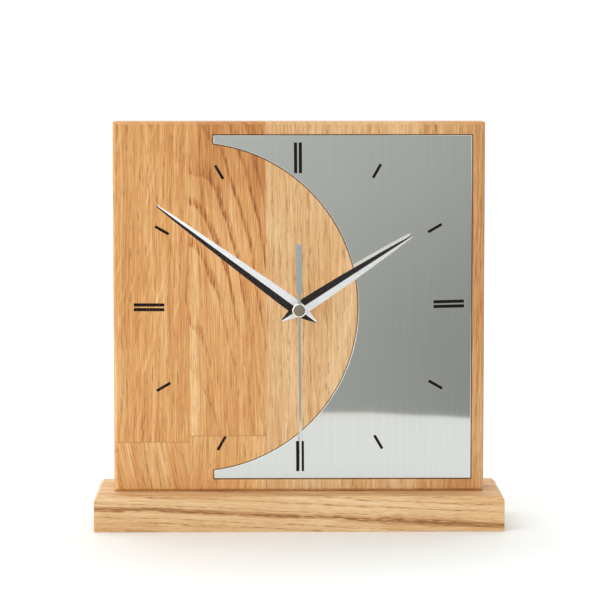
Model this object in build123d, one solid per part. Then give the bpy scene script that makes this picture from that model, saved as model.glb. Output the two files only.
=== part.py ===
# Mantel clock: an oak board of glued staves standing on an oak plinth, a brushed steel inlay let
# into its face, printed hour marks, and a battery quartz movement in a pocket at the back.
# Millimetres, +Z up, the face looks towards -Y, origin in the middle of the plinth's underside.
from build123d import *
import math
import os

os.makedirs("parts", exist_ok=True)

# plinth
base_width = 220.0
base_depth = 60.0
base_height = 19.0
base_chamfer = 2.0

# board of five staves, two of them made of two lengths butted end to end
panel_width = 200.0
panel_height = 200.0
panel_thickness = 26.0
panel_chamfer = 1.5
stave_joints = (-59.0, -18.0, 23.0, 64.0)
butt_joint_1 = 46.0
butt_joint_2 = 49.4
face_y = -panel_thickness / 2
back_y = panel_thickness / 2
dial_z = base_height + panel_height / 2

# screws that hold the plinth to the board
screw_x = 75.0
screw_radius = 2.0
screw_head_radius = 4.0
screw_top = 42.0

# steel inlay, cut away on the left by a round arc
inlay_left = -46.0
inlay_right = 93.0
inlay_low = base_height + 7.0
inlay_high = base_height + panel_height - 7.0
inlay_arc_radius = 89.0
inlay_arc_x = -57.0
inlay_thickness = 1.5
inlay_gap = 0.25

# hour marks
mark_outer = 89.0
mark_inner = 72.5
single_inner = 80.5
double_width = 1.7
double_offset = 1.28
single_width = 1.5
mark_thickness = 0.06
print_turn = -0.4
uneven_turns = {3: -1.4, 9: 0.2}

# pocket for the movement
pocket_side = 58.4
pocket_corner = 6.0
pocket_floor = -8.0
shaft_hole_radius = 4.2

# movement case
case_side = 56.0
case_corner = 5.0
case_wall = 1.4
case_front = -7.0
case_floor = -6.0
cover_y = 8.0
case_back = 9.2
partition_low = -11.7
partition_high = -10.5
bay_low = -26.3
bay_floor = -5.45

# threaded bushing, its nut and the gasket
bushing_radius = 4.0
bushing_flange_radius = 4.8
bushing_end = -19.0
bushing_bore = 2.65
nut_across_flats = 10.0
nut_thickness = 2.2
gasket_radius = 9.0

# hands: reach of the point, reach of the tail, clockwise angle from twelve
minute_length = 94.5
minute_angle = 306.3
minute_front = -24.9
hour_length = 72.0
hour_angle = 57.0
hour_front = -22.1
hand_tail = 11.6
hand_thickness = 0.5
second_length = 90.0
second_angle = 179.5
second_front = -28.4
second_thickness = 0.4
weight_far = 35.3
weight_near = 10.3
weight_width = 3.35
boss_radius = 3.8
boss_front = -29.0

# concentric tubes
hour_tube_radius = 2.6
hour_tube_bore = 1.75
minute_tube_radius = 1.7
minute_tube_bore = 0.6
second_arbor_radius = 0.55
pivot_radius = 0.35
pivot_hole = 0.38

# gear modules and tooth counts
rotor_pinion_teeth = 8
fifth_wheel_teeth = 48
fast_module = 0.2
fifth_pinion_teeth = 8
second_wheel_teeth = 40
second_module = 0.25
second_pinion_teeth = 8
third_wheel_teeth = 60
third_pinion_teeth = 8
centre_wheel_teeth = 64
third_pinion_module = 0.2
third_distance = (third_pinion_teeth + centre_wheel_teeth) * third_pinion_module / 2
third_wheel_module = 2 * third_distance / (second_pinion_teeth + third_wheel_teeth)
motion_module = 0.35
cannon_teeth = 10
minute_work_teeth = 30
minute_work_pinion_teeth = 8
hour_wheel_teeth = 32
setting_teeth = 15

# battery, an AA cell
cell_radius = 7.25
cell_low_x = -24.57
cell_shoulder_x = 24.63
cell_nub_x = 25.93
cell_nub_radius = 2.75
cell_z = dial_z - 19.0
cell_y = 1.85


def polar(distance, degrees):
    """Offset in X and Z of a point at an angle turned from +X towards +Z."""
    return (distance * math.cos(math.radians(degrees)), distance * math.sin(math.radians(degrees)))


def plane_at(y):
    """Plane facing the front, its own x and y along world X and Z."""
    return Plane(origin=(0, y, 0), x_dir=(1, 0, 0), z_dir=(0, -1, 0))


def slab(face, front, back):
    """Flat face drawn in X and Z, given the thickness between two values of Y."""
    return extrude(plane_at(back) * face, amount=back - front)


def block(low, high):
    """Box between two corners."""
    middle = [(a + b) / 2 for a, b in zip(low, high)]
    return Pos(*middle) * Box(*[b - a for a, b in zip(low, high)])


def disc(x, z, radius, front, back):
    """Cylinder along Y."""
    return Pos(x, (front + back) / 2, z) * Rot(90, 0, 0) * Cylinder(radius, back - front)


def rounded(half_x, low_z, high_z, radius, front, back):
    """Plate with four rounded corners, centred on X = 0."""
    outline = Pos(0, (low_z + high_z) / 2) * RectangleRounded(2 * half_x, high_z - low_z, radius)
    return slab(outline, front, back)


def gear(x, z, teeth, module, first_tooth, front, back, slim):
    """Spur gear of flat-flanked teeth; slim teeth are for the small pinions."""
    pitch = teeth * module / 2
    widths = (0.36, 0.36, 0.20) if slim else (0.52, 0.40, 0.20)
    radii = (pitch - (1.35 if slim else 1.2) * module, pitch, pitch + (0.8 if slim else 0.9) * module)
    points = []
    for tooth in range(teeth):
        middle = math.radians(first_tooth) + 2 * math.pi * tooth / teeth
        rising = [(r, middle - w * math.pi / teeth) for r, w in zip(radii, widths)]
        falling = [(r, middle + w * math.pi / teeth) for r, w in zip(reversed(radii), reversed(widths))]
        for radius, angle in rising + falling:
            points.append((x + radius * math.cos(angle), z + radius * math.sin(angle)))
    return slab(make_face(Polyline(*points, close=True)), front, back)


def meshing(bearing, own_teeth, partner_teeth, partner_first):
    """Angle of a tooth that falls in a gap of the partner, seen at a bearing from the partner."""
    pitches = (partner_first - bearing) * partner_teeth / 360
    return bearing + 180 - pitches * 360 / own_teeth + 180 / own_teeth


def save(part, name):
    export_step(part, "parts/" + name + ".step")


# plinth with chamfered top edges and two countersunk holes from below
plinth = block((-base_width / 2, -base_depth / 2, 0), (base_width / 2, base_depth / 2, base_height))
plinth = chamfer(plinth.faces().sort_by(Axis.Z)[-1].edges(), base_chamfer)
screws = []
for side in (-1, 1):
    hole = Pos(side * screw_x, 0, base_height / 2) * Cylinder(screw_radius + 0.1, base_height)
    sink = Pos(side * screw_x, 0, 1.45) * Cone(screw_head_radius + 0.15, screw_radius + 0.1, 2.3)
    mouth = Pos(side * screw_x, 0, 0.15) * Cylinder(screw_head_radius + 0.15, 0.3)
    plinth = plinth - hole - sink - mouth
    head = Pos(side * screw_x, 0, 1.5) * Cone(screw_head_radius, screw_radius, 2.2)
    shank = Pos(side * screw_x, 0, (2.6 + screw_top - 3) / 2) * Cylinder(screw_radius, screw_top - 3 - 2.6)
    point = Pos(side * screw_x, 0, screw_top - 1.5) * Cone(screw_radius, 0.2, 3.0)
    cross = Pos(side * screw_x, 0, 1.0) * (Box(4.0, 0.9, 1.6) + Box(0.9, 4.0, 1.6))
    screws.append(head + shank + point - cross)
save(plinth, "base_plinth")
save(Compound(children=screws), "base_screws")

# outline of the steel inlay
arc_height = math.sqrt(inlay_arc_radius ** 2 - (inlay_left - inlay_arc_x) ** 2)
inlay_outline = make_face([
    Line((inlay_left, inlay_high), (inlay_right, inlay_high)),
    Line((inlay_right, inlay_high), (inlay_right, inlay_low)),
    Line((inlay_right, inlay_low), (inlay_left, inlay_low)),
    Line((inlay_left, inlay_low), (inlay_left, dial_z - arc_height)),
    ThreePointArc(
        (inlay_left, dial_z - arc_height),
        (inlay_arc_x + inlay_arc_radius, dial_z),
        (inlay_left, dial_z + arc_height),
    ),
    Line((inlay_left, dial_z + arc_height), (inlay_left, inlay_high)),
])
inlay = slab(inlay_outline, face_y, face_y + inlay_thickness)
save(inlay, "steel_inlay")

# board: chamfered front and back edges, inlay recess, movement pocket, shaft hole, screw holes
panel_low = base_height
panel_high = base_height + panel_height
board = block((-panel_width / 2, face_y, panel_low), (panel_width / 2, back_y, panel_high))
face_edges = board.faces().sort_by(Axis.Y)[0].edges() + board.faces().sort_by(Axis.Y)[-1].edges()
board = chamfer(face_edges, panel_chamfer)
recess = slab(offset(inlay_outline, inlay_gap, kind=Kind.INTERSECTION), face_y, face_y + inlay_thickness)
pocket = rounded(
    pocket_side / 2, dial_z - pocket_side / 2, dial_z + pocket_side / 2, pocket_corner, pocket_floor, back_y
)
board = board - recess - pocket - disc(0, dial_z, shaft_hole_radius, face_y, pocket_floor)
for side in (-1, 1):
    pilot_height = screw_top - 3 - base_height
    board = board - Pos(side * screw_x, 0, base_height + pilot_height / 2) * Cylinder(screw_radius, pilot_height)
    board = board - Pos(side * screw_x, 0, screw_top - 1.5) * Cone(screw_radius, 0.2, 3.0)
edges_x = (-panel_width / 2,) + stave_joints + (panel_width / 2,)
stave_cuts = (
    ("stave_1_lower", 0, panel_low, butt_joint_1),
    ("stave_1_upper", 0, butt_joint_1, panel_high),
    ("stave_2_lower", 1, panel_low, butt_joint_2),
    ("stave_2_upper", 1, butt_joint_2, panel_high),
    ("stave_3", 2, panel_low, panel_high),
    ("stave_4", 3, panel_low, panel_high),
    ("stave_5", 4, panel_low, panel_high),
)
for name, column, low_z, high_z in stave_cuts:
    stave = board & block((edges_x[column], face_y, low_z), (edges_x[column + 1], back_y, high_z))
    save(stave, name)

# hour marks, those on the oak and those on the steel; pairs of bars at twelve, three, six and nine.
# The print stands a little anticlockwise of true, its three and nine least evenly.
wood_marks = []
steel_marks = []
for hour in range(1, 13):
    if hour % 3 == 0:
        bars = ((-double_offset, double_width, mark_inner), (double_offset, double_width, mark_inner))
    else:
        bars = ((0.0, single_width, single_inner),)
    for across, width, inner in bars:
        bar = block(
            (across - width / 2, face_y - mark_thickness, inner),
            (across + width / 2, face_y, mark_outer),
        )
        bar = Pos(0, 0, dial_z) * Rot(0, 30 * hour + uneven_turns.get(hour, print_turn), 0) * bar
        (wood_marks if 7 <= hour <= 11 else steel_marks).append(bar)
save(Compound(children=wood_marks), "hour_marks_wood")
save(Compound(children=steel_marks), "hour_marks_steel")


# hands
def hand_shape(length, profile, angle, front):
    """Leaf-shaped hand with a pointed tail, turned clockwise from twelve."""
    right = Spline(*[(half, along) for along, half in profile])
    left = Spline(*[(-half, along) for along, half in reversed(profile)])
    tip = Line((profile[-1][1], length), (-profile[-1][1], length))
    tail = Line((-profile[0][1], -hand_tail), (profile[0][1], -hand_tail))
    blade = slab(make_face([right, tip, left, tail]), front, front + hand_thickness)
    return Pos(0, 0, dial_z) * Rot(0, angle, 0) * blade


minute_profile = (
    (-hand_tail, 0.25), (-4.9, 2.6), (-1.0, 3.55), (4.0, 3.85), (14.0, 3.7), (38.0, 2.87), (62.0, 2.05),
    (86.0, 1.05), (minute_length, 0.5),
)
hour_profile = (
    (-hand_tail, 0.25), (-4.9, 2.6), (-1.0, 3.55), (4.0, 3.85), (14.0, 3.7), (30.0, 3.15), (46.0, 2.3),
    (62.0, 1.35), (hour_length, 0.45),
)
hour_hand = hand_shape(hour_length, hour_profile, hour_angle, hour_front)
hour_hand = hour_hand + disc(0, dial_z, 3.4, hour_front + hand_thickness, -19.6)
hour_hand = hour_hand - disc(0, dial_z, hour_tube_radius, hour_front, -19.6)
save(hour_hand, "hour_hand")
minute_hand = hand_shape(minute_length, minute_profile, minute_angle, minute_front)
minute_hand = minute_hand + disc(0, dial_z, 2.6, minute_front + hand_thickness, -23.0)
minute_hand = minute_hand - disc(0, dial_z, minute_tube_radius, minute_front, -23.0)
save(minute_hand, "minute_hand")
needle = make_face(Polyline((-0.78, 0), (-0.5, second_length), (0.5, second_length), (0.78, 0), close=True))
weight = make_face(Polyline(
    (-0.78, 0), (-0.78, -(weight_near - 2.2)), (-weight_width / 2, -weight_near),
    (-weight_width / 2, -weight_far), (weight_width / 2, -weight_far),
    (weight_width / 2, -weight_near), (0.78, -(weight_near - 2.2)), (0.78, 0), close=True,
))
second_hand = slab(needle, second_front, second_front + second_thickness)
second_hand = second_hand + slab(weight, second_front, second_front + second_thickness)
second_hand = Pos(0, 0, dial_z) * Rot(0, second_angle, 0) * second_hand
boss = disc(0, dial_z, boss_radius, boss_front, second_front + second_thickness)
boss = chamfer(boss.faces().sort_by(Axis.Y)[0].edges(), 0.4)
second_hand = second_hand + boss + disc(0, dial_z, 1.3, second_front + second_thickness, -25.8)
second_hand = second_hand - disc(0, dial_z, second_arbor_radius, -28.2, -25.8)
save(second_hand, "second_hand")

# where each arbor stands
third_bearing = 163.0
fifth_bearing = 50.0
rotor_bearing = 30.0
minute_work_bearing = -20.0
setting_bearing = -15.5
third_dx, third_dz = polar(third_distance, third_bearing)
fifth_dx, fifth_dz = polar((fifth_pinion_teeth + second_wheel_teeth) * second_module / 2, fifth_bearing)
rotor_dx, rotor_dz = polar((rotor_pinion_teeth + fifth_wheel_teeth) * fast_module / 2, rotor_bearing)
work_dx, work_dz = polar((cannon_teeth + minute_work_teeth) * motion_module / 2, minute_work_bearing)
setting_dx, setting_dz = polar((minute_work_teeth + setting_teeth) * motion_module / 2, setting_bearing)
third_at = (third_dx, dial_z + third_dz)
fifth_at = (fifth_dx, dial_z + fifth_dz)
rotor_at = (fifth_dx + rotor_dx, dial_z + fifth_dz + rotor_dz)
work_at = (work_dx, dial_z + work_dz)
setting_at = (work_dx + setting_dx, dial_z + work_dz + setting_dz)

# second wheel: 40-tooth wheel, 8-tooth pinion and the long arbor that carries the second hand
second_wheel = gear(0, dial_z, second_wheel_teeth, second_module, fifth_bearing, 4.0, 4.6, False)
second_wheel = second_wheel + gear(
    0, dial_z, second_pinion_teeth, third_wheel_module, third_bearing, -0.6, 0.4, True
)
second_wheel = second_wheel + disc(0, dial_z, second_arbor_radius, -28.2, 6.3)
second_wheel = second_wheel + disc(0, dial_z, pivot_radius, 6.3, 7.0)
save(second_wheel, "second_wheel")

# fifth wheel between the rotor and the second wheel
fifth_pinion_first = meshing(fifth_bearing, fifth_pinion_teeth, second_wheel_teeth, fifth_bearing)
fifth_wheel = gear(*fifth_at, fifth_wheel_teeth, fast_module, rotor_bearing, 5.2, 5.8, False)
fifth_wheel = fifth_wheel + gear(
    *fifth_at, fifth_pinion_teeth, second_module, fifth_pinion_first, 3.7, 4.9, True
)
fifth_wheel = fifth_wheel + disc(*fifth_at, pivot_radius, 1.0, 7.0)
save(fifth_wheel, "fifth_wheel")

# rotor: magnet, 8-tooth pinion and arbor
rotor_first = meshing(rotor_bearing, rotor_pinion_teeth, fifth_wheel_teeth, rotor_bearing)
rotor = gear(*rotor_at, rotor_pinion_teeth, fast_module, rotor_first, 4.9, 6.1, True)
rotor = rotor + disc(*rotor_at, 2.6, 2.0, 3.4) + disc(*rotor_at, 0.9, 3.4, 4.9)
rotor = rotor + disc(*rotor_at, pivot_radius, 1.0, 7.0)
save(rotor, "rotor")

# third wheel between the second wheel's pinion and the centre wheel
third_wheel_first = meshing(third_bearing, third_wheel_teeth, second_pinion_teeth, third_bearing)
third_wheel = gear(*third_at, third_wheel_teeth, third_wheel_module, third_wheel_first, -0.4, 0.2, False)
third_wheel = third_wheel + gear(
    *third_at, third_pinion_teeth, third_pinion_module, third_bearing + 180, -2.5, -1.3, True
)
third_wheel = third_wheel + disc(*third_at, pivot_radius, -6.4, 1.5)
save(third_wheel, "third_wheel")

# centre wheel, held on the cannon pinion by the clutch spring
centre_first = meshing(third_bearing + 180, centre_wheel_teeth, third_pinion_teeth, third_bearing + 180)
centre_wheel = gear(0, dial_z, centre_wheel_teeth, third_pinion_module, centre_first, -2.2, -1.6, False)
centre_wheel = centre_wheel - disc(0, dial_z, minute_tube_radius + 0.03, -2.2, -1.6)
save(centre_wheel, "centre_wheel")

# cannon pinion: 10 teeth, the shoulder and seat of the centre wheel, and the minute hand's tube
cannon = gear(0, dial_z, cannon_teeth, motion_module, minute_work_bearing, -4.4, -2.6, True)
cannon = cannon + disc(0, dial_z, 2.4, -2.6, -2.23) + disc(0, dial_z, minute_tube_radius, -2.23, -1.2)
cannon = cannon + disc(0, dial_z, minute_tube_radius, -25.2, -4.4)
cannon = cannon - disc(0, dial_z, minute_tube_bore, -25.2, -1.2)
save(cannon, "cannon_pinion")
clutch = disc(0, dial_z, 3.6, -1.57, -1.4)
for arm in range(3):
    window_dx, window_dz = polar(2.65, 90 + 120 * arm)
    clutch = clutch - disc(window_dx, dial_z + window_dz, 0.55, -1.57, -1.4)
clutch = clutch - disc(0, dial_z, minute_tube_radius, -1.57, -1.4)
save(clutch, "clutch_spring")

# minute-work wheel and pinion, turning on a post of the case
work_wheel_first = meshing(minute_work_bearing, minute_work_teeth, cannon_teeth, minute_work_bearing)
work_pinion_first = minute_work_bearing + 180
work = gear(*work_at, minute_work_teeth, motion_module, work_wheel_first, -3.9, -3.1, False)
work = work + gear(*work_at, minute_work_pinion_teeth, motion_module, work_pinion_first, -5.8, -3.9, True)
work = work - disc(*work_at, 0.75, -5.8, -3.1)
save(work, "minute_work_wheel")

# hour wheel and its tube
hour_first = meshing(minute_work_bearing + 180, hour_wheel_teeth, minute_work_pinion_teeth, work_pinion_first)
hour_wheel = gear(0, dial_z, hour_wheel_teeth, motion_module, hour_first, -5.7, -4.7, False)
hour_wheel = hour_wheel + disc(0, dial_z, hour_tube_radius, hour_front, -5.7)
hour_wheel = hour_wheel - disc(0, dial_z, hour_tube_bore, hour_front, -4.7)
save(hour_wheel, "hour_wheel")

# setting arbor and the knob on the back
setting_first = meshing(setting_bearing, setting_teeth, minute_work_teeth, work_wheel_first)
setting = gear(*setting_at, setting_teeth, motion_module, setting_first, -4.3, -2.7, True)
setting = setting + disc(*setting_at, 1.0, -6.4, 11.4)
save(setting, "setting_arbor")
knob = disc(*setting_at, 4.5, 9.5, 12.3)
knob = chamfer(knob.faces().sort_by(Axis.Y)[-1].edges(), 0.4)
for flute in range(16):
    flute_dx, flute_dz = polar(4.75, 22.5 * flute)
    knob = knob - disc(setting_at[0] + flute_dx, setting_at[1] + flute_dz, 0.5, 9.5, 12.3)
knob = knob - disc(*setting_at, 1.0, 9.5, 11.4)
save(knob, "setting_knob")

# movement case: tray with the train chamber above and the open battery bay below
half = case_side / 2
inner = half - case_wall
tray = rounded(half, dial_z - half, dial_z + half, case_corner, case_front, case_back)
chamber = block((-inner, case_floor, dial_z + partition_high), (inner, cover_y, dial_z + inner))
above = block((-half, cover_y, dial_z + partition_low), (half, case_back, dial_z + half))
bay = block((-inner, bay_floor, dial_z + bay_low), (inner, case_back, dial_z + partition_low))
tray = tray - chamber - above - bay
tray = tray - disc(0, dial_z, bushing_flange_radius, case_front, case_floor)
for side in (-1, 1):
    slot_low = inner - 0.3 if side > 0 else -inner
    tray = tray - block(
        (slot_low, 1.9, dial_z + partition_low), (slot_low + 0.3, 4.5, dial_z + partition_high)
    )
tray = tray - disc(*third_at, pivot_hole, -6.5, case_floor)
tray = tray - disc(*setting_at, 1.05, -6.5, case_floor)
tray = tray + disc(*work_at, 0.7, case_floor, -2.7)
post_spots = ((-24.0, 24.0), (24.0, 24.0), (24.0, -8.0), (-24.0, -8.0))
for post_x, post_z in post_spots:
    tray = tray + disc(post_x, dial_z + post_z, 1.5, case_floor, 0.8)
save(tray, "movement_case")
cover = rounded(half, dial_z - half, dial_z + half, case_corner, cover_y, case_back)
cover = cover - block((-half, cover_y, dial_z - half), (half, case_back, dial_z + partition_low))
rim_outer = block(
    (-inner + 0.1, cover_y - 0.6, dial_z + partition_high + 0.1), (inner - 0.1, cover_y, dial_z + inner - 0.1)
)
rim_inner = block(
    (-inner + 1.0, cover_y - 0.6, dial_z + partition_high + 1.0), (inner - 1.0, cover_y, dial_z + inner - 1.0)
)
rim = chamfer(rim_outer.edges().filter_by(Axis.Y), 1.0) - rim_inner
cover = cover + rim - disc(*setting_at, 1.1, cover_y, case_back)
save(cover, "case_cover")

# bushing moulded into the case floor, gasket behind the board, nut on its front
bushing = disc(0, dial_z, bushing_flange_radius, case_front, case_floor)
bushing = bushing + disc(0, dial_z, bushing_radius, bushing_end, case_front)
bushing = bushing - disc(0, dial_z, bushing_bore, bushing_end, case_floor)
save(bushing, "threaded_bushing")
gasket = disc(0, dial_z, gasket_radius, pocket_floor, case_front)
gasket = gasket - disc(0, dial_z, bushing_radius + 0.1, pocket_floor, case_front)
save(gasket, "rubber_gasket")
nut_outline = Pos(0, dial_z) * RegularPolygon(nut_across_flats / 2, 6, major_radius=False, rotation=12)
nut = slab(nut_outline, face_y - nut_thickness, face_y)
nut = nut & Pos(0, face_y - nut_thickness / 2, dial_z) * Rot(90, 0, 0) * chamfer(
    Cylinder(5.75, nut_thickness).edges().sort_by(Axis.Z)[-1], 0.5
)
nut = nut - disc(0, dial_z, bushing_radius, face_y - nut_thickness, face_y)
save(nut, "fixing_nut")

# plates that carry the train
train_plate = block((-inner + 0.2, 0.8, dial_z - 10.2), (inner - 0.2, 1.6, dial_z + inner - 0.2))
train_plate = chamfer(train_plate.edges().filter_by(Axis.Y), 1.2)
train_plate = train_plate - block((-10.6, 0.8, dial_z + 16.3), (10.6, 1.6, dial_z + 24.2))
train_plate = train_plate - disc(0, dial_z, 0.9, 0.8, 1.6)
for spot in (third_at, fifth_at, rotor_at):
    train_plate = train_plate - disc(*spot, pivot_hole, 0.8, 1.6)
train_plate = train_plate - disc(*setting_at, 1.05, 0.8, 1.6)
save(train_plate, "train_plate")
bridge = block((-8.2, 6.4, dial_z - 7.6), (19.2, 7.3, dial_z + 13.0))
bridge = chamfer(bridge.edges().filter_by(Axis.Y), 2.0)
for post_x, post_z in ((-6.5, -5.5), (10.5, -6.0), (-6.5, 7.6), (17.5, 5.0)):
    bridge = bridge + disc(post_x, dial_z + post_z, 1.1, 1.6, 6.4)
for spot in ((0, dial_z), fifth_at, rotor_at):
    bridge = bridge - disc(*spot, pivot_hole, 6.4, 7.3)
bridge = bridge - disc(*setting_at, 1.05, 6.4, 7.3)
save(bridge, "train_bridge")

# stator, coil and core, circuit board
stator = slab(Pos(rotor_at[0], rotor_at[1]) * Circle(5.2), 2.3, 3.1)
left_arm = Polyline(
    (-15, dial_z + 22.5), (-11, dial_z + 22.5), (-11, dial_z + 16.2), (6, dial_z + 11.5),
    (5, dial_z + 6.5), (-15, dial_z + 13.0), close=True,
)
right_arm = Polyline(
    (11, dial_z + 22.5), (15, dial_z + 22.5), (15, dial_z + 14), (13, dial_z + 8), (10, dial_z + 11),
    (11, dial_z + 14), close=True,
)
stator = stator + slab(make_face(left_arm), 2.3, 3.1) + slab(make_face(right_arm), 2.3, 3.1)
stator = stator - disc(*rotor_at, 3.15, 2.3, 3.1)
coil_z = dial_z + 20.2
core = block((-15, 3.1, coil_z - 1.5), (15, 3.9, coil_z + 1.5))
winding = Pos(0, 3.5, coil_z) * Rot(0, 90, 0) * Cylinder(3.1, 17.0)
winding = winding - block((-8.5, 2.8, coil_z - 2.0), (8.5, 4.2, coil_z + 2.0))
bobbin = block((-10.0, 2.8, coil_z - 2.0), (10.0, 4.2, coil_z + 2.0))
for flange_x in (-9.25, 9.25):
    bobbin = bobbin + Pos(flange_x, 3.5, coil_z) * Rot(0, 90, 0) * Cylinder(3.5, 1.5)
bobbin = bobbin - core
coil_screws = []
for screw_at in (-13.0, 13.0):
    stator = stator - disc(screw_at, coil_z, 0.8, 2.3, 3.1)
    core = core - disc(screw_at, coil_z, 0.8, 3.1, 3.9)
    spacer = disc(screw_at, coil_z, 1.8, 1.6, 2.3) - disc(screw_at, coil_z, 0.8, 1.6, 2.3)
    stator = stator + spacer
    screw = disc(screw_at, coil_z, 0.8, 1.6, 3.9) + disc(screw_at, coil_z, 1.5, 3.9, 4.8)
    coil_screws.append(screw - block((screw_at - 1.5, 4.4, coil_z - 0.2), (screw_at + 1.5, 4.8, coil_z + 0.2)))
save(stator, "stator")
save(core, "coil_core")
save(winding, "coil_winding")
save(bobbin, "coil_bobbin")
save(Compound(children=coil_screws), "coil_screws")
circuit = block((-26.2, 1.6, dial_z - 10.0), (-15.4, 2.4, dial_z + 24.0))
circuit = chamfer(circuit.edges().filter_by(Axis.Y), 1.2)
save(circuit, "circuit_board")
chip = disc(-19.6, dial_z + 1.5, 2.8, 2.4, 3.4)
chip = fillet(chip.faces().sort_by(Axis.Y)[-1].edges(), 0.8)
save(chip, "controller_chip")
crystal = Pos(-21.0, 3.4, dial_z + 12.0) * Cylinder(1.0, 6.0)
crystal = fillet(crystal.faces().sort_by(Axis.Z)[-1].edges(), 0.3)
save(crystal, "quartz_crystal")

# battery contacts
positive = block((inner - 0.3, -3.0, cell_z - 5.0), (inner, 7.5, cell_z + 5.0))
positive = positive + Pos(inner - 0.475, cell_y, cell_z) * Rot(0, 90, 0) * Cylinder(2.2, 0.35)
positive = positive + block((inner - 0.3, 1.9, cell_z + 5.0), (inner, 4.5, dial_z + partition_high + 0.3))
positive = positive + block(
    (-18.0, 2.4, dial_z + partition_high), (inner, 4.4, dial_z + partition_high + 0.3)
)
positive = positive + block((-20.0, 2.4, dial_z + partition_high), (-18.0, 2.7, dial_z - 6.0))
save(positive, "positive_contact")
leaf = Polyline(
    (-inner + 0.3, -4.0), (-24.9, 1.0), (-24.6, 2.0), (-24.9, 3.0), (-25.9, 6.6), (-26.15, 6.5),
    (-25.2, 3.0), (-24.95, 2.0), (-25.2, 1.0), (-inner + 0.3, -3.2), close=True,
)
negative = extrude(Plane.XY.offset(cell_z - 2.5) * make_face(leaf), amount=5.0)
negative = negative + block((-inner, -5.0, cell_z - 5.0), (-inner + 0.3, 7.5, cell_z + 5.0))
negative = negative + block((-inner, 1.9, cell_z + 5.0), (-inner + 0.3, 4.5, dial_z + 2.0))
negative = negative + block((-inner + 0.3, 2.4, dial_z), (-23.0, 2.7, dial_z + 2.0))
save(negative, "negative_contact")

# battery
cell_length = cell_shoulder_x - cell_low_x
cell = Pos((cell_low_x + cell_shoulder_x) / 2, cell_y, cell_z) * Rot(0, 90, 0) * Cylinder(cell_radius, cell_length)
cell = fillet(cell.edges(), 0.5)
nub_length = cell_nub_x - cell_shoulder_x
nub = Pos(cell_shoulder_x + nub_length / 2, cell_y, cell_z) * Rot(0, 90, 0) * Cylinder(cell_nub_radius, nub_length)
save(cell + nub, "battery_cell")
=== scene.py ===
# Mantel clock: oak board and plinth, brushed steel inlay, printed hour marks, two-tone hands and a
# battery quartz movement in the back. Metres, +Z up, the dial faces -Y.
import bpy
import bmesh
import math
from mathutils import Matrix, Vector


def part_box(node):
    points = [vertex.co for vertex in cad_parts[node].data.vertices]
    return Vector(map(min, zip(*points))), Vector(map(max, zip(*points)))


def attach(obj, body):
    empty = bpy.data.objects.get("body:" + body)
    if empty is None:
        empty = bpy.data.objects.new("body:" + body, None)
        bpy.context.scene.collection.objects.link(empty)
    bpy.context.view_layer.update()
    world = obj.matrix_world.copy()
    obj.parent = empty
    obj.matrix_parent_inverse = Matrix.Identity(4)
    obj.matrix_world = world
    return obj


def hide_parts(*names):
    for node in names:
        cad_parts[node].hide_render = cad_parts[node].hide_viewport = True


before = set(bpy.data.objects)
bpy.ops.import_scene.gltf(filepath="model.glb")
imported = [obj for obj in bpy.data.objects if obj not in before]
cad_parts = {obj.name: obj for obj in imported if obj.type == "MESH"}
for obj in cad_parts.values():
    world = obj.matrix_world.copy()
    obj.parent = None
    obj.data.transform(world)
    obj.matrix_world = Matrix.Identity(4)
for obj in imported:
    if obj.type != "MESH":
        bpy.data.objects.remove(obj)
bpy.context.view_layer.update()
mm = 0.001
dial_centre = Vector((0.0, 0.0, 0.119))


# Plinth: one length of solid oak, planed, its top edges chamfered, finished with hard oil.
# The oak is a solid pattern: growth rings round a pith line, fibres, open pores and ray flecks.
def node(tree, kind, sockets=None, **settings):
    """One shader or geometry node, its sockets linked or set by name or number."""
    made = tree.nodes.new(kind)
    for key, value in settings.items():
        setattr(made, key, value)
    for key, value in (sockets or {}).items():
        socket = made.inputs[key]
        if isinstance(value, bpy.types.NodeSocket):
            tree.links.new(value, socket)
        else:
            socket.default_value = value
    return made


def sums(tree, operation, *values, clamp=False):
    """Result of one Math node."""
    made = node(tree, "ShaderNodeMath", dict(enumerate(values)), operation=operation, use_clamp=clamp)
    return made.outputs[0]


def spread(tree, value, low, high, to_low=0.0, to_high=1.0):
    """Smooth step of a value between two limits."""
    made = node(tree, "ShaderNodeMapRange", {0: value, 1: low, 2: high, 3: to_low, 4: to_high})
    made.interpolation_type = "SMOOTHSTEP"
    return made.outputs[0]


def cloud(tree, across, depth, along, scales, seed, detail=2.0, rough=0.5):
    """Noise over three lengths in millimetres, each with its own scale."""
    place = node(tree, "ShaderNodeCombineXYZ", {
        0: sums(tree, "MULTIPLY", across, scales[0]),
        1: sums(tree, "MULTIPLY", depth, scales[1]),
        2: sums(tree, "MULTIPLY_ADD", along, scales[2], seed),
    })
    made = node(tree, "ShaderNodeTexNoise", {
        "Vector": place.outputs[0], "Scale": 1.0, "Detail": detail, "Roughness": rough,
    })
    return made.outputs[0]


def new_material(name):
    """Empty material: its tree, its shader and its surface output."""
    material = bpy.data.materials.new(name)
    material.use_nodes = True
    tree = material.node_tree
    return material, tree, tree.nodes["Principled BSDF"]


def over(tree, share, under, colour):
    """One colour laid over another by a share from 0 to 1."""
    under, colour = [(*paint, 1.0) if isinstance(paint, tuple) else paint for paint in (under, colour)]
    return node(tree, "ShaderNodeMix", {0: share, 6: under, 7: colour}, data_type="RGBA").outputs[2]


def face_direction(tree):
    """X, Y and Z of the way a face points."""
    facing = node(tree, "ShaderNodeNewGeometry").outputs["True Normal"]
    return node(tree, "ShaderNodeSeparateXYZ", {0: facing}).outputs


def lengths_of(tree, place):
    """X, Y and Z of a place in millimetres."""
    parts = node(tree, "ShaderNodeSeparateXYZ", {0: place}).outputs
    return [sums(tree, "MULTIPLY", part, 1000.0) for part in list(parts)]


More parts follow.
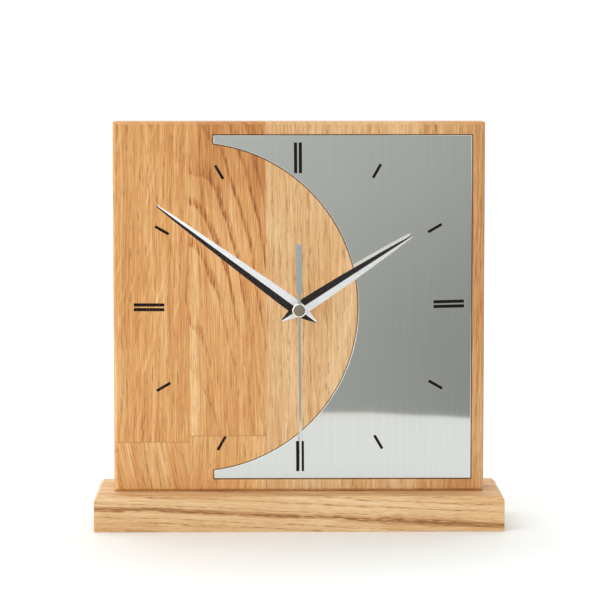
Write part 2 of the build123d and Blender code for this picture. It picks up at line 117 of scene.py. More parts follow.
def tint(tree, value, stops):
    """Colour ramp through (position, (r, g, b)) stops."""
    ramp = node(tree, "ShaderNodeValToRGB", {0: value})
    while len(ramp.color_ramp.elements) < len(stops):
        ramp.color_ramp.elements.new(0.5)
    for element, (position, colour) in zip(ramp.color_ramp.elements, stops):
        element.position = position
        element.color = (*colour, 1.0)
    return ramp.outputs[0]


def oak(name, grain, pith, lean, ring, seed, slope=0.0, tone=0.5, pale=0.3, figure=0.08, rays=0.3,
        ray_slope=0.35, heart=None, fade=None, figure_fade=None, pale_strip=None, seams=(), recess=None):
    """Oiled oak. grain is the axis of the fibres, pith the ring centre (across, depth) in mm at zero
    length, lean its drift per mm of length, ring the width of a year, slope the fibres' own drift
    across the face. tone is how light it is, pale how far from orange to beige, figure how dark the
    rings are, rays how light the flecks. heart is a dark ring (radius, width, strength), fade a change
    of tone between two lengths, figure_fade where the rings grow clear, pale_strip a lighter edge,
    seams the glue lines (axis, place, strength), recess the outline of the steel let into the face."""
    material, tree, shader = new_material(name)
    x, y, z = lengths_of(tree, node(tree, "ShaderNodeTexCoord").outputs["Object"])
    across, depth, along = (x, y, z) if grain == "Z" else (z, y, x)
    drift = cloud(tree, across, depth, along, (0.03, 0.03, 0.010), seed + 3.1, 2.0)
    drift = sums(tree, "MULTIPLY", sums(tree, "SUBTRACT", drift, 0.5), 9.0)
    wander = cloud(tree, across, depth, along, (0.10, 0.10, 0.014), seed + 7.7, 2.0)
    wander = sums(tree, "MULTIPLY", sums(tree, "SUBTRACT", wander, 0.5), 3.0)
    fibre = sums(tree, "ADD", sums(tree, "MULTIPLY_ADD", along, -slope, across), wander)
    ring_x = sums(tree, "MULTIPLY_ADD", along, -lean[0], sums(tree, "SUBTRACT", across, pith[0]))
    ring_x = sums(tree, "ADD", ring_x, wander)
    ring_y = sums(tree, "MULTIPLY_ADD", along, -lean[1], sums(tree, "SUBTRACT", depth, pith[1]))
    ring_y = sums(tree, "ADD", ring_y, drift)
    radius = sums(tree, "SQRT", sums(
        tree, "ADD", sums(tree, "MULTIPLY", ring_x, ring_x), sums(tree, "MULTIPLY", ring_y, ring_y)))
    uneven = cloud(tree, radius, 0.0, 0.0, (0.13, 1.0, 1.0), seed, 2.0)
    phase = sums(tree, "FRACT", sums(
        tree, "ADD", sums(tree, "DIVIDE", radius, ring), sums(tree, "MULTIPLY", uneven, 2.6)))
    early = sums(tree, "MULTIPLY", spread(tree, phase, 0.0, 0.08),
                 spread(tree, phase, 0.14, 0.50, 1.0, 0.0))
    streak = cloud(tree, fibre, depth, along, (0.42, 0.42, 0.006), seed + 11.0, 3.0, 0.60)
    band = cloud(tree, fibre, depth, along, (1.9, 1.9, 0.045), seed + 13.0, 2.0, 0.65)
    hair = cloud(tree, fibre, depth, along, (2.8, 2.8, 0.065), seed + 17.0, 2.0, 0.65)
    broad = cloud(tree, fibre, depth, along, (0.06, 0.06, 0.010), seed + 23.0, 1.0)
    vein = cloud(tree, fibre, depth, along, (2.2, 2.2, 0.16), seed + 29.0, 1.0)
    pore = sums(tree, "MULTIPLY", spread(tree, vein, 0.54, 0.68),
                sums(tree, "MULTIPLY_ADD", early, 0.65, 0.35))
    ragged = sums(tree, "MULTIPLY", spread(tree, vein, 0.40, 0.58, 0.15, 1.2),
                  spread(tree, broad, 0.34, 0.54))
    ragged = sums(tree, "MULTIPLY_ADD", ragged, 0.88, 0.12)
    level = tone
    for pattern, strength in ((streak, 0.44), (band, 0.58), (hair, 0.70), (broad, 0.40)):
        level = sums(tree, "MULTIPLY_ADD", sums(tree, "SUBTRACT", pattern, 0.5), strength, level)
    lines = sums(tree, "MULTIPLY", early, ragged)
    if figure_fade:
        clear = spread(tree, along, figure_fade[0], figure_fade[1], 0.2, 1.0)
        lines = sums(tree, "MULTIPLY", lines, clear)
    level = sums(tree, "MULTIPLY_ADD", lines, -figure, level)
    if fade:
        level = sums(tree, "ADD", level, spread(tree, along, fade[0], fade[1], 0.0, fade[2]))
    if heart:
        far = sums(tree, "ABSOLUTE", sums(tree, "SUBTRACT", sums(tree, "ADD", radius, wander), heart[0]))
        dusk = sums(tree, "MULTIPLY", spread(tree, far, 0.0, heart[1], 1.0, 0.0),
                    sums(tree, "MULTIPLY", spread(tree, band, 0.36, 0.58, 0.30, 1.15),
                         spread(tree, vein, 0.38, 0.60, 0.55, 1.2)))
        level = sums(tree, "MULTIPLY_ADD", dusk, -heart[2], level)
    if pale_strip:
        near = spread(tree, sums(tree, "ADD", across, wander), pale_strip[0], pale_strip[1], 1.0, 0.0)
        level = sums(tree, "MULTIPLY_ADD", near, pale_strip[2], level)
    ray_x = sums(tree, "MULTIPLY_ADD", along, -ray_slope, across)
    ray = cloud(tree, ray_x, depth, along, (0.50, 0.2, 0.032), seed + 37.0, 1.0)
    level = sums(tree, "MULTIPLY_ADD", spread(tree, ray, 0.60, 0.78), rays, level)
    warm = tint(tree, level, (
        (0.00, (0.290, 0.088, 0.022)), (0.25, (0.490, 0.188, 0.050)), (0.50, (0.660, 0.330, 0.112)),
        (0.72, (0.780, 0.465, 0.195)), (1.00, (0.890, 0.650, 0.370)),
    ))
    beige = tint(tree, level, (
        (0.00, (0.270, 0.115, 0.042)), (0.25, (0.450, 0.222, 0.086)), (0.50, (0.640, 0.390, 0.182)),
        (0.72, (0.760, 0.520, 0.290)), (1.00, (0.880, 0.700, 0.470)),
    ))
    paleness = sums(tree, "MULTIPLY_ADD", sums(tree, "SUBTRACT", broad, 0.5), 0.8, pale)
    paleness = sums(tree, "MULTIPLY_ADD", sums(tree, "SUBTRACT", band, 0.5), 0.9, paleness, clamp=True)
    colour = over(tree, paleness, warm, beige)
    colour = over(tree, sums(tree, "MULTIPLY", pore, 0.55), colour, (0.25, 0.100, 0.036))
    for axis, spot, strength in seams:
        gap = sums(tree, "ABSOLUTE", sums(tree, "SUBTRACT", (x, y, z)[axis], spot))
        colour = over(tree, spread(tree, gap, 0.12, 0.42, strength, 0.0), colour, (0.20, 0.085, 0.03))
    if recess:  # painted shade: the wood round the recess is darkened where the gap beside the steel lies in shadow
        left, right, foot, head, round_x, round_radius = recess
        middle_z = (foot + head) / 2
        sideways = sums(tree, "ABSOLUTE", sums(tree, "SUBTRACT", x, (left + right) / 2))
        rise = sums(tree, "SUBTRACT", z, middle_z)
        beside = sums(tree, "SUBTRACT", sideways, (right - left) / 2)
        above = sums(tree, "SUBTRACT", sums(tree, "ABSOLUTE", rise), (head - foot) / 2)
        arm = sums(tree, "SUBTRACT", x, round_x)
        reach = sums(tree, "SQRT", sums(
            tree, "ADD", sums(tree, "MULTIPLY", arm, arm), sums(tree, "MULTIPLY", rise, rise)))
        rim = sums(tree, "MAXIMUM", sums(tree, "MAXIMUM", beside, above),
                   sums(tree, "SUBTRACT", round_radius, reach))
        # Painted shade: a near-black line along the edge of the recess stands in for the shadow in the gap
        # round the steel.
        painted_gap_shade = sums(tree, "MULTIPLY", spread(tree, rim, 0.30, 0.62, 0.8, 0.0),
                     spread(tree, y, -12.5, -12.0, 1.0, 0.0))
        colour = over(tree, painted_gap_shade, colour, (0.035, 0.022, 0.014))
    end_on = sums(tree, "ABSOLUTE", face_direction(tree)[2 if grain == "Z" else 0])
    end_grain = sums(tree, "MULTIPLY", spread(tree, end_on, 0.6, 0.95), 0.35)
    colour = over(tree, end_grain, colour, (0.42, 0.22, 0.09))
    tree.links.new(colour, shader.inputs["Base Color"])
    gloss = sums(tree, "MULTIPLY_ADD", pore, 0.20, sums(tree, "MULTIPLY_ADD", hair, 0.20, 0.38))
    tree.links.new(gloss, shader.inputs["Roughness"])
    shader.inputs["Specular IOR Level"].default_value = 0.32
    height = sums(tree, "MULTIPLY_ADD", pore, -1.0, sums(tree, "MULTIPLY", hair, 0.30))
    bump = node(tree, "ShaderNodeBump", {"Strength": 0.4, "Distance": 0.00005, "Height": height})
    tree.links.new(bump.outputs[0], shader.inputs["Normal"])
    return material


def even_shading(mesh, limit=50.0):
    """Smooth shading in which large flat faces keep their own direction."""
    mesh.shade_smooth()
    around = {}
    for face in mesh.polygons:
        for corner in face.vertices:
            around.setdefault(corner, []).append((face.area, face.normal.copy()))
    keep = math.cos(math.radians(limit))
    normals = []
    for face in mesh.polygons:
        for corner in face.vertices:
            total = Vector()
            for area, direction in around[corner]:
                if direction.dot(face.normal) > keep:
                    total += direction * area
            normals.append(total.normalized() if total.length else face.normal.copy())
    mesh.normals_split_custom_set(normals)


def softened(source, name, width, glued=(), steps=2, turned=32.0):
    """Merged copy of a solid with its sharp outer edges rounded, except where it is glued."""
    weld, on_plane = 2e-6, 2e-5
    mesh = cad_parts[source].data.copy()
    work = bmesh.new()
    work.from_mesh(mesh)
    bmesh.ops.remove_doubles(work, verts=work.verts, dist=weld)
    bmesh.ops.dissolve_limit(work, angle_limit=math.radians(1.0), verts=work.verts, edges=work.edges)
    sharp = []
    for edge in work.edges:
        if len(edge.link_faces) != 2 or edge.calc_face_angle(0.0) < math.radians(turned):
            continue
        ends = [vertex.co for vertex in edge.verts]
        on_glue = any(all(abs(end[axis] - place) < on_plane for end in ends) for axis, place in glued)
        if not on_glue:
            sharp.append(edge)
    bmesh.ops.bevel(
        work, geom=sharp, offset=width, segments=steps, profile=0.5, affect="EDGES", clamp_overlap=True)
    work.to_mesh(mesh)
    work.free()
    even_shading(mesh)
    made = bpy.data.objects.new(name, mesh)
    bpy.context.scene.collection.objects.link(made)
    return made


def finish_with(piece, *materials):
    """Gives a piece its materials, first slot first."""
    if piece.data.materials:
        piece.data.materials.clear()
    for material in materials:
        piece.data.materials.append(material)


plinth = softened("base_plinth", "plinth", 0.35 * mm, steps=3)
finish_with(plinth, oak(
    "plinth_oak", "X", pith=(-60.0, -30.0), lean=(-0.045, 0.02), ring=3.6, seed=91.0, slope=-0.035,
    tone=0.60, pale=0.95, figure=0.26, heart=(68.2, 2.7, 0.66), rays=0.06, ray_slope=0.1,
))
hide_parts("base_plinth")
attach(plinth, "clock_body")

# Board: seven lengths of oak glued edge to edge and end to end, then planed flat, recessed for the
# steel and bored for the shaft. Each length comes from another part of the tree, so each has its
# own rings, tone and flecks; the glue lines stay sharp.
stave_joints = (-59.0, -18.0, 23.0, 64.0)
butt_1, butt_2 = 46.0, 49.4
glue_planes = [(0, place * mm) for place in stave_joints] + [(2, place * mm) for place in (butt_1, butt_2)]
long_lines = [(0, place, 0.12) for place in stave_joints]
lines_1 = long_lines + [(2, butt_1, 0.34)]
lines_2 = long_lines + [(2, butt_2, 0.34)]
plate_left, plate_right, plate_low, plate_high = -46.0, 93.0, 26.0, 212.0
arc_x, arc_radius = -57.0, 89.0
recess_floor, plate_thick = -11.5, 1.5
plate_recess = (plate_left, plate_right, plate_low, plate_high, arc_x, arc_radius)
stave_oaks = {
    "stave_1_upper": dict(
        pith=(-150.0, -60.0), lean=(0.02, 0.01), ring=3.2, seed=5.0, tone=0.49, pale=-0.05, rays=0.15,
        ray_slope=0.30, seams=lines_1),
    "stave_1_lower": dict(
        pith=(-120.0, 80.0), lean=(-0.16, 0.02), ring=1.9, seed=14.0, slope=-0.20, tone=0.55, pale=0.1,
        figure=0.07, rays=0.05, ray_slope=-0.45, seams=lines_1),
    "stave_2_upper": dict(
        pith=(-62.0, -45.0), lean=(0.0, -0.14), ring=4.0, seed=33.0, slope=-0.04, tone=0.52, pale=0.15,
        figure=0.48, figure_fade=(85.0, 150.0), rays=0.03, fade=(150.0, 205.0, -0.15),
        pale_strip=(-56.5, -53.0, 0.16), seams=lines_2),
    "stave_2_lower": dict(
        pith=(-130.0, 60.0), lean=(0.02, 0.0), ring=3.1, seed=41.0, slope=0.03, tone=0.63, pale=0.15,
        rays=0.04, pale_strip=(-46.0, -38.0, -0.07), seams=lines_2),
    "stave_3": dict(
        pith=(90.0, 60.0), lean=(0.02, -0.02), ring=3.2, seed=52.0, slope=-0.01, tone=0.60, pale=0.78,
        rays=0.04, fade=(190.0, 215.0, -0.06), seams=long_lines),
    "stave_4": dict(
        pith=(-20.0, 95.0), lean=(0.01, 0.02), ring=3.0, seed=66.0, tone=0.60, pale=0.85, rays=0.04,
        seams=long_lines),
    "stave_5": dict(
        pith=(150.0, 50.0), lean=(0.0, 0.01), ring=2.8, seed=78.0, slope=0.015, tone=0.42, pale=0.62,
        rays=0.05, seams=long_lines),
}
for stave, look in stave_oaks.items():
    board = softened(stave, stave.replace("stave", "oak_stave"), 0.3 * mm, glued=glue_planes)
    finish_with(board, oak(stave + "_oak", "Z", recess=plate_recess, **look))
    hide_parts(stave)
    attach(board, "clock_body")

# Steel inlay: 1.5 mm brushed stainless plate, its left edge a round arc, its arris filed to a fine
# bevel. Brushed along the height, so it smears reflections sideways and keeps them sharp upright.
arc_steps, plate_bevel = 120, 0.40
arc_middle = (plate_low + plate_high) / 2
arc_swing = math.acos((plate_left - arc_x) / arc_radius)
outline = [(plate_left, plate_high), (plate_right, plate_high), (plate_right, plate_low),
           (plate_left, plate_low)]
for step in range(arc_steps + 1):
    turn = -arc_swing + 2 * arc_swing * step / arc_steps
    outline.append((arc_x + arc_radius * math.cos(turn), arc_middle + arc_radius * math.sin(turn)))
work = bmesh.new()
corners = [work.verts.new((px * mm, recess_floor * mm, pz * mm)) for px, pz in outline]
flat = work.faces.new(corners)
raised = bmesh.ops.extrude_face_region(work, geom=[flat])
fronts = [item for item in raised["geom"] if isinstance(item, bmesh.types.BMVert)]
bmesh.ops.translate(work, verts=fronts, vec=(0, -plate_thick * mm, 0))
bmesh.ops.recalc_face_normals(work, faces=work.faces)
arris = [edge for edge in work.edges if all(v.co.y < -12.9 * mm for v in edge.verts)]
bmesh.ops.bevel(work, geom=arris, offset=plate_bevel * mm, segments=2, profile=0.5, affect="EDGES")
plate_mesh = bpy.data.meshes.new("steel_plate")
work.to_mesh(plate_mesh)
work.free()
even_shading(plate_mesh)
plate = bpy.data.objects.new("steel_plate", plate_mesh)
bpy.context.scene.collection.objects.link(plate)
steel, tree, shader = new_material("brushed_steel")
x, y, z = lengths_of(tree, node(tree, "ShaderNodeTexCoord").outputs["Object"])
line = cloud(tree, x, y, z, (4.5, 1.0, 0.012), 2.0, 3.0, 0.7)
stroke = cloud(tree, x, y, z, (0.9, 1.0, 0.006), 9.0, 2.0, 0.6)
cast = cloud(tree, x, y, z, (0.02, 0.02, 0.014), 4.0, 1.0)
shine = sums(tree, "MULTIPLY_ADD", line, 0.20, sums(tree, "MULTIPLY_ADD", stroke, 0.05, 0.47))
brushed = tint(tree, shine, ((0.45, (0.515, 0.53, 0.505)), (0.75, (0.735, 0.75, 0.72))))
# Painted highlight: the bevel faces, which turn away from straight out, get a near-white colour for the
# light they catch.
bevel_highlight = spread(tree, face_direction(tree)[1], -0.97, -0.85)
tree.links.new(over(tree, bevel_highlight, brushed, (0.97, 0.97, 0.96)), shader.inputs["Base Color"])
shader.inputs["Metallic"].default_value = 1.0
tree.links.new(sums(tree, "MULTIPLY_ADD", stroke, 0.03, 0.055), shader.inputs["Roughness"])
shader.inputs["Anisotropic"].default_value = 1.0
tree.links.new(node(tree, "ShaderNodeTangent", direction_type="RADIAL", axis="Z").outputs[0],
               shader.inputs["Tangent"])
swell = node(tree, "ShaderNodeBump", {"Strength": 0.5, "Distance": 0.0002, "Height": cast})
grooves = node(tree, "ShaderNodeBump", {
    "Strength": 0.35, "Distance": 0.00001, "Height": line, "Normal": swell.outputs[0],
})
tree.links.new(grooves.outputs[0], shader.inputs["Normal"])
finish_with(plate, steel)
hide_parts("steel_inlay")
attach(plate, "clock_body")

# Hour marks: bars of black ink screened on the oak and the steel, pairs at twelve, three, six and
# nine. Each bar is a thin raised film with rounded corners; the ink sinks a little into the pores.
marks = bpy.data.node_groups.new("hour_bars", "GeometryNodeTree")
marks.interface.new_socket("Geometry", in_out="OUTPUT", socket_type="NodeSocketGeometry")
mark_sockets = {}
for label, kind, start in (
    ("Bars", "NodeSocketInt", 1), ("First turn", "NodeSocketFloat", 0.0),
    ("Turn between", "NodeSocketFloat", 0.5236), ("Inner radius", "NodeSocketFloat", 0.08),
    ("Outer radius", "NodeSocketFloat", 0.089), ("Width", "NodeSocketFloat", 0.0015),
    ("Aside", "NodeSocketFloat", 0.0), ("Ink", "NodeSocketMaterial", None),
):
    socket = marks.interface.new_socket(label, in_out="INPUT", socket_type=kind)
    if start is not None:
        socket.default_value = start
    mark_sockets[label] = socket.identifier
given = marks.nodes.new("NodeGroupInput").outputs
length = sums(marks, "SUBTRACT", given["Outer radius"], given["Inner radius"])
middle = sums(marks, "MULTIPLY", sums(marks, "ADD", given["Outer radius"], given["Inner radius"]), 0.5)
shape = node(marks, "GeometryNodeCurvePrimitiveQuadrilateral", {
    "Width": given["Width"], "Height": length})
round_off = node(marks, "GeometryNodeFilletCurve", {"Curve": shape.outputs[0], "Radius": 0.00025})
round_off.inputs["Limit Radius"].default_value = True
round_off.mode = "POLY"
round_off.inputs["Count"].default_value = 4
film = node(marks, "GeometryNodeFillCurve", {0: round_off.outputs[0]})
moved = node(marks, "GeometryNodeTransform", {
    "Geometry": film.outputs[0],
    "Translation": node(marks, "ShaderNodeCombineXYZ", {0: given["Aside"], 1: middle}).outputs[0],
})
ring_of = node(marks, "GeometryNodePoints", {"Count": given["Bars"]})
order = node(marks, "GeometryNodeInputIndex").outputs[0]
turn = sums(marks, "MULTIPLY_ADD", order, given["Turn between"], given["First turn"])
placed = node(marks, "GeometryNodeInstanceOnPoints", {
    "Points": ring_of.outputs[0], "Instance": moved.outputs[0],
    "Rotation": node(marks, "ShaderNodeCombineXYZ", {2: sums(marks, "MULTIPLY", turn, -1.0)}).outputs[0],
})
real = node(marks, "GeometryNodeRealizeInstances", {0: placed.outputs[0]})
thick = node(marks, "GeometryNodeExtrudeMesh", {
    "Mesh": real.outputs[0], "Offset Scale": 0.00006, "Individual": False,
})
inked = node(marks, "GeometryNodeSetMaterial", {"Geometry": thick.outputs[0], "Material": given["Ink"]})
marks.links.new(inked.outputs[0], marks.nodes.new("NodeGroupOutput").inputs[0])


def grown(group, sockets, name, **values):
    """Plain mesh that a geometry tree makes from these inputs."""
    holder = bpy.data.objects.new(name + "_growing", bpy.data.meshes.new(name + "_growing"))
    bpy.context.scene.collection.objects.link(holder)
    modifier = holder.modifiers.new("growing", "NODES")
    modifier.node_group = group
    for label, value in values.items():
        modifier[sockets[label.replace("_", " ")]] = value
    seen = holder.evaluated_get(bpy.context.evaluated_depsgraph_get())
    mesh = bpy.data.meshes.new_from_object(seen)
    holder.modifiers.remove(modifier)
    bpy.data.objects.remove(holder)
    return mesh


def joined(name, meshes, material, place=Matrix()):
    """One object from several meshes, each moved by place, all of one material."""
    work = bmesh.new()
    for mesh in meshes:
        mesh.transform(place)
        work.from_mesh(mesh)
    bmesh.ops.recalc_face_normals(work, faces=work.faces)
    for face in work.faces:
        face.material_index = 0
    whole = bpy.data.meshes.new(name)
    work.to_mesh(whole)
    work.free()
    whole.materials.append(material)
    made = bpy.data.objects.new(name, whole)
    bpy.context.scene.collection.objects.link(made)
    return made


def mark_ink(name, speckle, breaks):
    """Black ink; breaks is how far the open pores of the oak show through it."""
    material, tree, shader = new_material(name)
    place = node(tree, "ShaderNodeTexCoord").outputs["Object"]
    grain = node(tree, "ShaderNodeTexNoise", {"Vector": place, "Scale": 2600.0, "Detail": 3.0})
    colour = tint(tree, grain.outputs[0], (
        (0.30, (0.006, 0.005, 0.005)), (0.62, (0.011, 0.009, 0.008)), (0.72, speckle),
    ))
    crack = cloud(tree, *lengths_of(tree, place), (2.6, 1.0, 0.10), 21.0, 1.0)
    broken = over(tree, spread(tree, crack, 0.60, 0.68, 0.0, breaks), colour, (0.34, 0.17, 0.06))
    tree.links.new(broken, shader.inputs["Base Color"])
    shader.inputs["Specular IOR Level"].default_value = 0.06
    tree.links.new(spread(tree, grain.outputs[0], 0.3, 0.7, 0.45, 0.60), shader.inputs["Roughness"])
    bump = node(tree, "ShaderNodeBump", {
        "Strength": 0.4, "Distance": 0.00002, "Height": grain.outputs[0]})
    tree.links.new(bump.outputs[0], shader.inputs["Normal"])
    return material


pair_aside = 1.28 * mm
pair_from, single_from, marks_to = 72.5, 80.5, 89.0
pair_width, single_width = 1.7, 1.5
face_middle = dial_centre + Vector((0, -13.0 * mm, 0))
dial_face = Matrix.Translation(face_middle) @ Matrix.Rotation(math.pi / 2, 4, "X")
print_turn, uneven_turns = -0.4, {3: -1.4, 9: 0.2}
for surface, ink, hours in (
    ("steel", mark_ink("ink_on_steel", (0.030, 0.030, 0.030), 0.0), (12, 1, 2, 3, 4, 5, 6)),
    ("wood", mark_ink("ink_on_oak", (0.060, 0.032, 0.014), 0.40), (7, 8, 9, 10, 11)),
):
    bars = []
    pairs = [hour for hour in hours if hour % 3 == 0]
    singles = [hour for hour in hours if hour % 3]
    for hour, count, between in [(hour, 1, 0.0) for hour in pairs] + [
            (run[0], 2, 30.0) for run in zip(singles[::2], singles[1::2])]:
        for aside in ((-pair_aside, pair_aside) if hour % 3 == 0 else (0.0,)):
            bars.append(grown(
                marks, mark_sockets, "bars", Bars=count, Aside=aside, Ink=ink,
                First_turn=math.radians(30.0 * hour + uneven_turns.get(hour, print_turn)),
                Turn_between=math.radians(between),
                Inner_radius=(single_from if hour % 3 else pair_from) * mm,
                Outer_radius=marks_to * mm,
                Width=(single_width if hour % 3 else pair_width) * mm))
    printed = joined("ink_bars_" + surface, bars, ink, dial_face)
    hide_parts("hour_marks_" + surface)
    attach(printed, "clock_body")

# Hour and minute hands: leaf-shaped blades pressed from aluminium with a low ridge down the middle,
# one flank polished bright and the other lacquered black, on a bright collet behind the blade. Their
# bare backs glow weakly, in place of the light that the steel throws on them.
polished, tree, shader = new_material("polished_flank")
place = node(tree, "ShaderNodeTexCoord").outputs["Object"]
fine = node(tree, "ShaderNodeTexNoise", {"Vector": place, "Scale": 900.0, "Detail": 4.0})
tree.links.new(tint(tree, fine.outputs[0], ((0.3, (0.89, 0.90, 0.92)), (0.7, (0.96, 0.965, 0.98)))),
               shader.inputs["Base Color"])
shader.inputs["Metallic"].default_value = 0.55
tree.links.new(spread(tree, fine.outputs[0], 0.3, 0.7, 0.16, 0.26), shader.inputs["Roughness"])
lacquer, tree, shader = new_material("black_lacquer")
place = node(tree, "ShaderNodeTexCoord").outputs["Object"]
fine = node(tree, "ShaderNodeTexNoise", {"Vector": place, "Scale": 1400.0, "Detail": 3.0})
tree.links.new(tint(tree, fine.outputs[0], ((0.3, (0.009, 0.007, 0.007)), (0.7, (0.018, 0.012, 0.012)))),
               shader.inputs["Base Color"])
tree.links.new(spread(tree, fine.outputs[0], 0.3, 0.7, 0.22, 0.34), shader.inputs["Roughness"])
shader.inputs["Specular IOR Level"].default_value = 0.3
raw_back, tree, shader = new_material("raw_aluminium")
place = node(tree, "ShaderNodeTexCoord").outputs["Object"]
fine = node(tree, "ShaderNodeTexNoise", {"Vector": place, "Scale": 1100.0, "Detail": 3.0})
tree.links.new(tint(tree, fine.outputs[0], ((0.3, (0.82, 0.82, 0.82)), (0.7, (0.90, 0.90, 0.90)))),
               shader.inputs["Base Color"])
shader.inputs["Roughness"].default_value = 0.5
shader.inputs["Metallic"].default_value = 0.1
shader.inputs["Emission Color"].default_value = (1.0, 0.99, 0.97, 1.0)
tree.links.new(spread(tree, face_direction(tree)[1], 0.80, 0.95, 0.0, 0.60),
               shader.inputs["Emission Strength"])


def eased(stops, samples):
    """Smooth line through (along, half width) stops."""
    points = []
    for index in range(samples + 1):
        share = 0.5 - 0.5 * math.cos(math.pi * index / samples)
        place = stops[0][0] + (stops[-1][0] - stops[0][0]) * share
        for spot in range(len(stops) - 1):
            if place <= stops[spot + 1][0] + 1e-9:
                break
        before, here, there, after = [
            stops[min(max(spot + step, 0), len(stops) - 1)] for step in (-1, 0, 1, 2)]
        part = (place - here[0]) / (there[0] - here[0])
        rise_a = (there[1] - before[1]) / max(there[0] - before[0], 1e-6) * (there[0] - here[0])
        rise_b = (after[1] - here[1]) / max(after[0] - here[0], 1e-6) * (there[0] - here[0])
        cube, square = part ** 3, part ** 2
        width = ((2 * cube - 3 * square + 1) * here[1] + (cube - 2 * square + part) * rise_a
                 + (3 * square - 2 * cube) * there[1] + (cube - square) * rise_b)
        points.append((place, width))
    return points


def ring_of_points(work, radius, y, count=48):
    return [work.verts.new((radius * math.sin(2 * math.pi * i / count), y,
                            radius * math.cos(2 * math.pi * i / count))) for i in range(count)]


def turned_part(work, profile, material, count=48):
    """Closed shape turned round the Y axis from (radius, y) points, back to the start."""
    rings = [ring_of_points(work, radius, y, count) for radius, y in profile]
    for first, second in zip(rings, rings[1:] + rings[:1]):
        for i in range(count):
            face = work.faces.new((first[i], first[(i + 1) % count], second[(i + 1) % count], second[i]))
            face.material_index = material


def blade(name, stops, angle, front, thick, collet, samples=60):
    """Two-tone blade with a ridge, and its collet, turned clockwise from twelve."""
    work = bmesh.new()
    soft, ridge = 0.07, 0.09
    rows = []
    for along, half in eased(stops, samples):
        row = []
        inner = 1.0 - soft / max(half, 0.2)
        for share, lift in ((-1.0, thick), (-1.0, soft), (-inner, 0.0), (0.0, -ridge),
                            (inner, 0.0), (1.0, soft), (1.0, thick)):
            row.append(work.verts.new((share * half * mm, (front + lift) * mm, along * mm)))
        rows.append(row)
    for low, high in zip(rows, rows[1:]):
        for step in range(7):
            nxt = (step + 1) % 7
            face = work.faces.new((low[step], low[nxt], high[nxt], high[step]))
            face.material_index = 1 if 0 < step < 3 else (2 if step in (0, 5, 6) else 0)
    for row, reverse in ((rows[0], False), (rows[-1], True)):
        face = work.faces.new(row if reverse else row[::-1])
        face.material_index = 0
    bmesh.ops.recalc_face_normals(work, faces=work.faces)
    shell = bmesh.new()
    turned_part(shell, [(radius * mm, y * mm) for radius, y in collet], 0)
    bmesh.ops.recalc_face_normals(shell, faces=shell.faces)
    rest = bpy.data.meshes.new("collet")
    shell.to_mesh(rest)
    shell.free()
    work.from_mesh(rest)
    mesh = bpy.data.meshes.new(name)
    work.to_mesh(mesh)
    work.free()
    mesh.transform(Matrix.Translation(dial_centre) @ Matrix.Rotation(math.radians(angle), 4, "Y"))
    mesh.shade_smooth()
    mesh.set_sharp_from_angle(angle=math.radians(3.0))
    made = bpy.data.objects.new(name, mesh)
    bpy.context.scene.collection.objects.link(made)
    finish_with(made, polished, lacquer, raw_back)
    return made


hour_blade = blade(
    "hour_blade",
    ((-11.6, 0.25), (-4.9, 2.6), (-1.0, 3.55), (4.0, 3.85), (14.0, 3.7), (30.0, 3.15), (46.0, 2.3),
     (62.0, 1.35), (72.0, 0.45)),
    angle=57.0, front=-22.0, thick=0.4,
    collet=((2.6, -22.1), (3.2, -22.1), (3.4, -21.9), (3.4, -19.8), (3.2, -19.6), (2.6, -19.6)))
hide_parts("hour_hand")
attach(hour_blade, "hour_hand_body")
minute_blade = blade(
    "minute_blade",
    ((-11.6, 0.25), (-4.9, 2.6), (-1.0, 3.55), (4.0, 3.85), (14.0, 3.7), (38.0, 2.87), (62.0, 2.05),
     (86.0, 1.05), (94.5, 0.5)),
    angle=306.3, front=-24.8, thick=0.4,
    collet=((1.7, -24.9), (2.4, -24.9), (2.6, -24.7), (2.6, -23.2), (2.4, -23.0), (1.7, -23.0)))
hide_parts("minute_hand")
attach(minute_blade, "minute_hand_body")

# Second hand: a flat needle of satin steel sheet, its shading tilted by a bump as though bent a hair
# towards the dial, with a rectangular counterweight and a turned boss that is pushed on the arbor. The
# boss's face has a painted highlight in a near-white ring round a painted reflection of the oak.
needle_bend = 0.0047
needle_back, needle_thick, needle_angle = -28.0, 0.4, 179.5
needle_grey, tree, shader = new_material("satin_steel")
place = node(tree, "ShaderNodeTexCoord").outputs["Object"]
fine = node(tree, "ShaderNodeTexNoise", {"Vector": place, "Scale": 1800.0, "Detail": 3.0})
tree.links.new(tint(tree, fine.outputs[0], ((0.3, (0.58, 0.60, 0.585)), (0.7, (0.66, 0.675, 0.66)))),
               shader.inputs["Base Color"])
shader.inputs["Metallic"].default_value = 1.0
shader.inputs["Roughness"].default_value = 0.07
height = node(tree, "ShaderNodeSeparateXYZ", {0: place}).outputs[2]
bend = node(tree, "ShaderNodeBump", {
    "Strength": 1.0, "Distance": 1.0, "Height": sums(tree, "MULTIPLY", height, -needle_bend)})
tree.links.new(bend.outputs[0], shader.inputs["Normal"])
cap_metal, tree, shader = new_material("turned_cap")
place = node(tree, "ShaderNodeTexCoord").outputs["Object"]
from_axis = node(tree, "ShaderNodeMapping", {"Vector": place, "Location": -dial_centre})
lathe = node(tree, "ShaderNodeTexWave", {
    "Vector": from_axis.outputs[0], "Scale": 900.0, "Distortion": 0.6, "Detail": 1.0,
}, wave_type="RINGS", rings_direction="Y")
# Painted reflection: the boss's dark warm tone stands in for the oak mirrored in it; the lathe rings over
# it are real turning marks.
turned = tint(tree, lathe.outputs[1], ((0.0, (0.30, 0.265, 0.19)), (1.0, (0.38, 0.34, 0.25))))
on_the_flat = node(tree, "ShaderNodeVectorMath", {
    0: from_axis.outputs[0], 1: (1.0, 0.0, 1.0)}, operation="MULTIPLY").outputs[0]
from_middle = node(tree, "ShaderNodeVectorMath", {0: on_the_flat}, operation="LENGTH").outputs["Value"]
